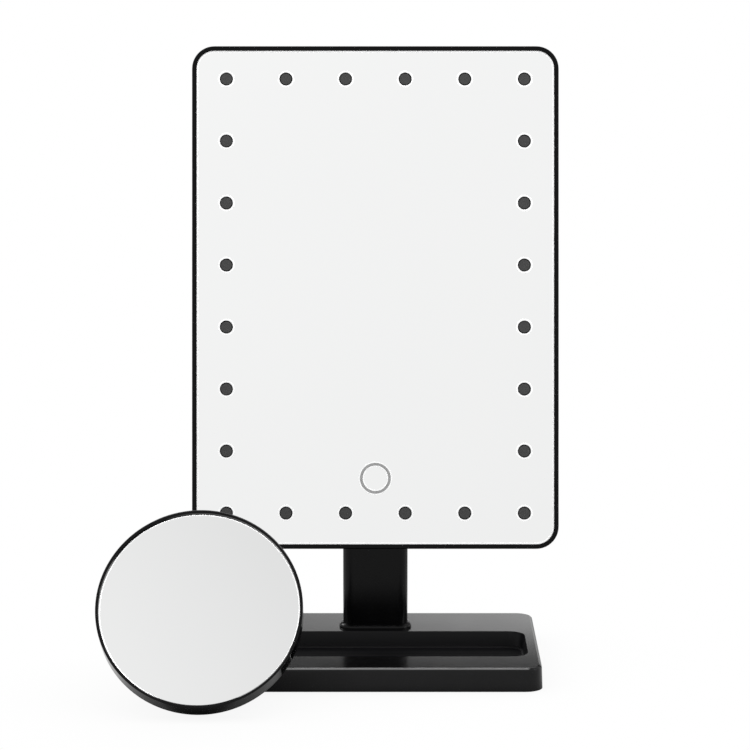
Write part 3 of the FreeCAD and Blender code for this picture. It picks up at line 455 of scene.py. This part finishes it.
def zinc_steel():
    s = Surface("zinc_steel", (0.55, 0.55, 0.57), 0.3, metallic=1.0)
    s.rough(s.noise(500, 4, (1, 12, 1)), 0.22, 0.4)
    s.tint(s.noise(80, 5), (0.48, 0.48, 0.51))
    s.bump(s.noise(900, 3, (1, 14, 1)), 0.00002, 0.3)
    return s.material


def black_steel():
    s = Surface("black_steel", (0.03, 0.03, 0.032), 0.35, metallic=0.8)
    s.rough(s.noise(700, 4), 0.28, 0.45)
    s.tint(s.noise(1500, 3), (0.06, 0.06, 0.062), 0.55, 0.75)
    return s.material


def nickel():
    s = Surface("nickel_plate", (0.72, 0.70, 0.66), 0.2, metallic=1.0)
    s.rough(s.noise(400, 4), 0.15, 0.3)
    s.tint(s.noise(120, 4), (0.62, 0.60, 0.56))
    return s.material


def copper_foil():
    s = Surface("copper_foil", (0.72, 0.40, 0.24), 0.35, metallic=1.0)
    s.rough(s.noise(600, 4), 0.25, 0.45)
    s.tint(s.noise(150, 4), (0.60, 0.32, 0.19))
    return s.material


def board(name, colour, other):
    s = Surface(name, colour, 0.4)
    s.tint(s.noise(350, 1, (6, 1, 1)), other, 0.48, 0.5)
    s.rough(s.noise(900, 3), 0.3, 0.5)
    s.bump(s.noise(350, 1, (6, 1, 1)), 0.00004, 0.5)
    return s.material


def green_board():
    return board("green_board", (0.015, 0.10, 0.04), (0.03, 0.16, 0.07))


def white_board():
    return board("white_board", (0.72, 0.72, 0.70), (0.62, 0.62, 0.60))


def led_package():
    s = Surface("led_package", (0.85, 0.78, 0.45), 0.4)
    s.tint(s.cells(700), (0.92, 0.90, 0.82), 0.3, 0.6)
    s.rough(s.noise(900, 3), 0.3, 0.5)
    return s.material


def chip_black():
    s = Surface("chip_black", (0.03, 0.03, 0.032), 0.5)
    s.rough(s.noise(1500, 3), 0.4, 0.6)
    s.tint(s.noise(2500, 2), (0.05, 0.05, 0.052))
    return s.material


def cell_jacket():
    """Plain dark film round a dry cell, with no print on it."""
    s = Surface("cell_jacket", (0.02, 0.02, 0.022), 0.25, metallic=0.3)
    s.rough(s.noise(200, 4), 0.18, 0.34)
    s.tint(s.noise(60, 3), (0.035, 0.035, 0.038))
    s.bump(s.noise(300, 2), 0.00003, 0.2)
    return s.material


def rubber(name, colour, grain):
    s = Surface(name, colour, 0.75, specular=0.2)
    s.rough(s.noise(grain, 3), 0.65, 0.85)
    s.tint(s.noise(grain * 0.3, 4), tuple(c * 1.5 for c in colour))
    s.bump(s.cells(grain), 0.00008, 0.5)
    return s.material


def foam_tape():
    return rubber("foam_tape", (0.03, 0.03, 0.031), 1600)


def foot_sheet():
    return rubber("foot_sheet", (0.02, 0.02, 0.021), 900)


def foam_ring():
    return rubber("foam_ring", (0.05, 0.05, 0.052), 1200)


def soft_vinyl():
    s = Surface("soft_vinyl", (0.22, 0.23, 0.24), 0.22, specular=0.5)
    s.shader.inputs["Transmission Weight"].default_value = 0.35
    s.shader.inputs["IOR"].default_value = 1.45
    s.rough(s.noise(150, 4), 0.15, 0.3)
    s.tint(s.noise(60, 4), (0.28, 0.29, 0.30))
    s.bump(s.noise(120, 1), 0.00003, 0.15)
    return s.material


def knob_grey():
    s = Surface("knob_grey", (0.06, 0.06, 0.062), 0.45)
    s.rough(s.noise(900, 3), 0.38, 0.55)
    s.tint(s.noise(1800, 2), (0.08, 0.08, 0.082))
    s.bump(s.noise(2500, 2), 0.00003, 0.3)
    return s.material


def fibre():
    s = Surface("pressed_fibre", (0.32, 0.11, 0.05), 0.7, specular=0.2)
    s.tint(s.noise(1200, 5), (0.22, 0.07, 0.03))
    s.rough(s.noise(900, 3), 0.6, 0.8)
    s.bump(s.noise(2500, 4), 0.00004, 0.5)
    return s.material


MAKERS = {
    "gloss_black": gloss_black, "satin_black": satin_black, "shell_black": shell_black,
    "mirror": silvered_glass, "window": frosted_window_painted_shade, "touch_line": etched_line,
    "tape": foam_tape, "board": green_board, "board_white": white_board, "led": led_package,
    "steel": zinc_steel, "dark_steel": black_steel, "copper": copper_foil, "nickel": nickel,
    "cell": cell_jacket, "chip": chip_black, "pad": foot_sheet, "foam": foam_ring,
    "suction": soft_vinyl, "knob": knob_grey, "fibre": fibre,
}


LOOKS = {
    "front_bezel": frame_black,
    "neck_column": column_black, "neck_collar": column_black, "base_tray": tray_black,
    "spot_rim": rim_black, "spot_shell": rim_black,
}


def paint_nodes():
    made = {slot: maker() for slot, maker in MAKERS.items()}
    own = {name: maker() for name, maker in LOOKS.items()}
    for part in frame["record"]["subparts"]:
        name = part["node"]
        for holder in frame["nodes"][name].material_slots:
            holder.material = own.get(name, made[part["material_slot"]])


def hide_spot_from_mirror(pieces):
    """The photograph's big mirror shows no reflection of the spot mirror."""
    for piece in [frame["nodes"][name] for name in SPOT_NODES] + pieces:
        piece.visible_glossy = False


# Thin edges on the glass

def leaning(place, angle, offset):
    """Matrix that sets a piece drawn facing -Y at a place, leaning back by an angle."""
    turn = Matrix.Rotation(-math.radians(angle), 4, "X")
    return Matrix.Translation(place) @ turn @ Matrix.Translation(offset)


def circle(x, z, radius, y, steps):
    turns = [2 * math.pi * k / steps for k in range(steps)]
    return [(x + radius * math.cos(a), y, z + radius * math.sin(a)) for a in turns]


def rounded(width, height, radius, y):
    """Closed loop of a rounded rectangle that stands at a depth."""
    loop = []
    for k, (sx, sz) in enumerate([(1, 1), (-1, 1), (-1, -1), (1, -1)]):
        for j in range(CORNER_STEPS + 1):
            a = math.pi / 2 * (k + j / CORNER_STEPS)
            loop.append((sx * (width / 2 - radius) + radius * math.cos(a), y,
                         sz * (height / 2 - radius) + radius * math.sin(a)))
    return loop


def add_band(mesh, place, loops):
    """Closed ring whose cross-section runs through the loops and back to the first."""
    rows = [[mesh.verts.new(place @ Vector(p)) for p in loop] for loop in loops]
    count = len(rows[0])
    for k, row in enumerate(rows):
        after = rows[(k + 1) % len(rows)]
        for j in range(count):
            n = (j + 1) % count
            mesh.faces.new((row[j], row[n], after[n], after[j]))


def thin_piece(name, mesh, body, material):
    bmesh.ops.recalc_face_normals(mesh, faces=mesh.faces)
    data = bpy.data.meshes.new(name)
    mesh.to_mesh(data)
    mesh.free()
    data.materials.append(material)
    piece = bpy.data.objects.new(name, data)
    bpy.context.collection.objects.link(piece)
    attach(piece, body)
    return piece


def edge_profile(inner, outer, slope=0.0):
    """Distances and depths of a low crowned edge, on glass that deepens towards its inside."""
    step = (outer - inner) / 4
    crown = [(inner, EDGE_FOOT), (inner + step, EDGE_CROWN), (outer - step, EDGE_CROWN),
             (outer, EDGE_FOOT)]
    return [(r, slope * (outer - r) - rise) for r, rise in crown]


def ring_bands(name, rings, body, material, place, steps=RING_STEPS, slope=0.0):
    """One piece of rings, each given by its middle's x and z and its two radii."""
    mesh = bmesh.new()
    for x, z, inner, outer in rings:
        profile = edge_profile(inner, outer, slope)
        add_band(mesh, place, [circle(x, z, r, y, steps) for r, y in profile])
    return thin_piece(name, mesh, body, material)


def window_places():
    pitch_x = (HEAD_WIDTH - 2 * WINDOW_INSET) / (WINDOW_COLS - 1)
    pitch_z = (HEAD_HEIGHT - 2 * WINDOW_INSET) / (WINDOW_ROWS - 1)
    places = []
    for i in range(WINDOW_COLS):
        for j in range(WINDOW_ROWS):
            if i in (0, WINDOW_COLS - 1) or j in (0, WINDOW_ROWS - 1):
                places.append(((i - (WINDOW_COLS - 1) / 2) * pitch_x,
                               (j - (WINDOW_ROWS - 1) / 2) * pitch_z + WINDOW_RISE))
    return places


def make_head_edges():
    """Ground lines round the glass, the windows and the touch ring of the head."""
    place = leaning(HINGE, TILT, (0, -HINGE_BACK, HINGE_DROP))
    ground, paint = ground_glass("ground_glass", 0.56, 0.70), mask_paint()
    r, width = WINDOW_RADIUS, TOUCH_HALO_WIDTH
    halos = [(x, z, r, r + HALO_WIDTH) for x, z in window_places()]
    z = TOUCH_INSET - HEAD_HEIGHT / 2
    halos += [(0, z, TOUCH_OUTER, TOUCH_OUTER + width), (0, z, TOUCH_INNER - width, TOUCH_INNER)]
    ring_bands("etched_edges", halos, "head", ground, place)
    masks = [(x, z, r - MASK_WIDTH, r) for x, z in window_places()]
    ring_bands("window_masks", masks, "head", paint, place)
    mesh = bmesh.new()
    profile = edge_profile(GLASS_INSET, GLASS_INSET + ARRIS_WIDTH)
    add_band(mesh, place, [rounded(HEAD_WIDTH - 2 * inset, HEAD_HEIGHT - 2 * inset,
                                   HEAD_CORNER - inset, y) for inset, y in profile])
    thin_piece("glass_arris", mesh, "head", ground)


def make_spot_edge():
    """Ground line round the spot glass."""
    place = leaning(SPOT_PLACE, SPOT_LEAN, (0, SPOT_GLASS_SINK, 0))
    fine = ground_glass("fine_ground_glass", 0.34, 0.46)
    ring = (0, 0, SPOT_GLASS_RADIUS - SPOT_ARRIS_WIDTH, SPOT_GLASS_RADIUS)
    return ring_bands("spot_arris", [ring], "spot_mirror", fine, place,
                      SPOT_STEPS, SPOT_GLASS_SLOPE)


bpy.context.scene.view_settings.view_transform = "Standard"
make_camera()
make_world()
make_floor()
make_cards()
for settings in LAMPS:
    make_lamp(*settings)
paint_nodes()
make_head_edges()
hide_spot_from_mirror([make_spot_edge()])
